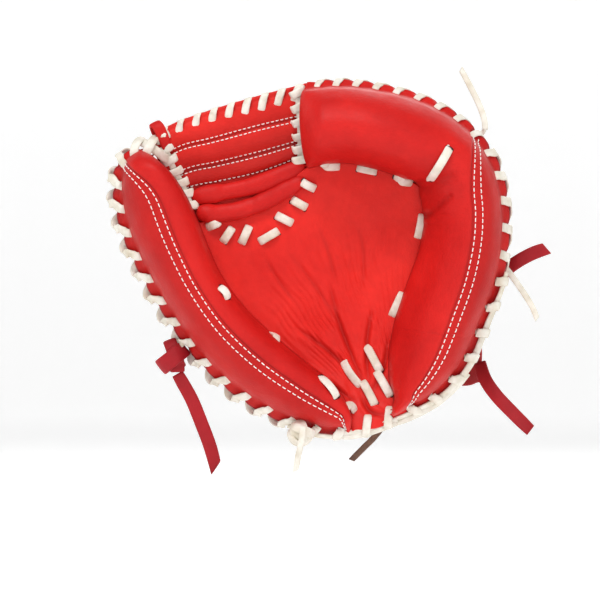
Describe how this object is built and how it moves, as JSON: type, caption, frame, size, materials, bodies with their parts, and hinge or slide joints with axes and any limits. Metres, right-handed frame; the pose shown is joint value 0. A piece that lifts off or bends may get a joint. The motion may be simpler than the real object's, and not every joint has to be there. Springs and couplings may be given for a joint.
{
  "type": "baseball catchers mitt",
  "caption": "Padded leather catching mitt with a deep laced pocket, a closed web and a wrist strap; its thumb half folds towards the fingers to close on a ball.",
  "frame": {"origin": "middle of the heel's outer edge, where the wearer's wrist or a post holds the mitt", "axes": "+Z towards the fingertips, +Y out of the back of the hand, +X towards the little finger"},
  "size_m": [0.3115, 0.1285, 0.282],
  "materials": {
    "red_leather": "smooth oiled cowhide, semi-gloss",
    "palm_leather": "smooth creased cowhide, semi-gloss",
    "deep_red_leather": "smooth cowhide, satin",
    "red_tie": "flat leather tie, satin",
    "cream_lace": "undyed rawhide lace, matte",
    "undyed_lace": "raw lace end, matte",
    "felt": "pressed wool felt",
    "lining_leather": "soft lining leather, matte",
    "fleece": "synthetic fleece"
  },
  "bodies": {
    "finger_side": {"finger_pad_cover": "red_leather", "little_finger_rim_panel": "red_leather", "palm_leather_finger": "palm_leather", "finger_back": "deep_red_leather", "wrist_strap_finger": "deep_red_leather", "strap_patch": "deep_red_leather", "index_finger_hood": "deep_red_leather", "back_binding_finger": "deep_red_leather", "edge_welt_finger": "deep_red_leather", "edge_welt_little_finger": "deep_red_leather", "strap_tie_lower": "red_tie", "strap_tie_upper": "red_tie", "edge_lace_finger": "cream_lace", "edge_lace_little_finger": "cream_lace", "finger_pad_lace": "cream_lace", "palm_crease_lace": "cream_lace", "heel_lace": "cream_lace", "lace_tail_side": "cream_lace", "lace_tail_top": "cream_lace", "lace_end_heel": "undyed_lace", "finger_felt_pad": "felt", "little_finger_felt_pad": "felt", "palm_felt_finger": "felt", "palm_lining_finger": "lining_leather", "finger_back_lining": "lining_leather", "little_finger_loop": "lining_leather", "strap_fleece_finger": "fleece"},
    "thumb_side": {"thumb_rim_panel": "red_leather", "thumb_felt_pad": "felt", "palm_leather_thumb": "palm_leather", "palm_felt_thumb": "felt", "palm_lining_thumb": "lining_leather", "thumb_back": "deep_red_leather", "thumb_back_lining": "lining_leather", "web_front_leather": "palm_leather", "web_back_leather": "deep_red_leather", "web_roll_upper": "red_leather", "web_roll_lower": "red_leather", "web_tab": "red_leather", "web_lace_thumb": "cream_lace", "web_lace_finger": "cream_lace", "crotch_lace": "cream_lace", "edge_welt_thumb": "deep_red_leather", "edge_lace_thumb": "cream_lace", "edge_welt_web": "deep_red_leather", "edge_lace_web": "cream_lace", "wrist_strap_thumb": "deep_red_leather", "strap_fleece_thumb": "fleece", "back_binding_thumb": "deep_red_leather", "thumb_loop": "lining_leather", "heel_lace_knot": "cream_lace", "tie_knot": "red_tie", "heel_lace_tail": "cream_lace", "tie_tail": "red_tie"}
  },
  "joints": [
    {"name": "pocket_close", "type": "hinge", "parent": "finger_side", "child": "thumb_side", "pos_m": [0.018, -0.009, 0.011], "axis": [-0.159, 0, 0.9873], "range_deg": [0, 40], "stiffness_Nm_per_rad": 6}
  ]
}
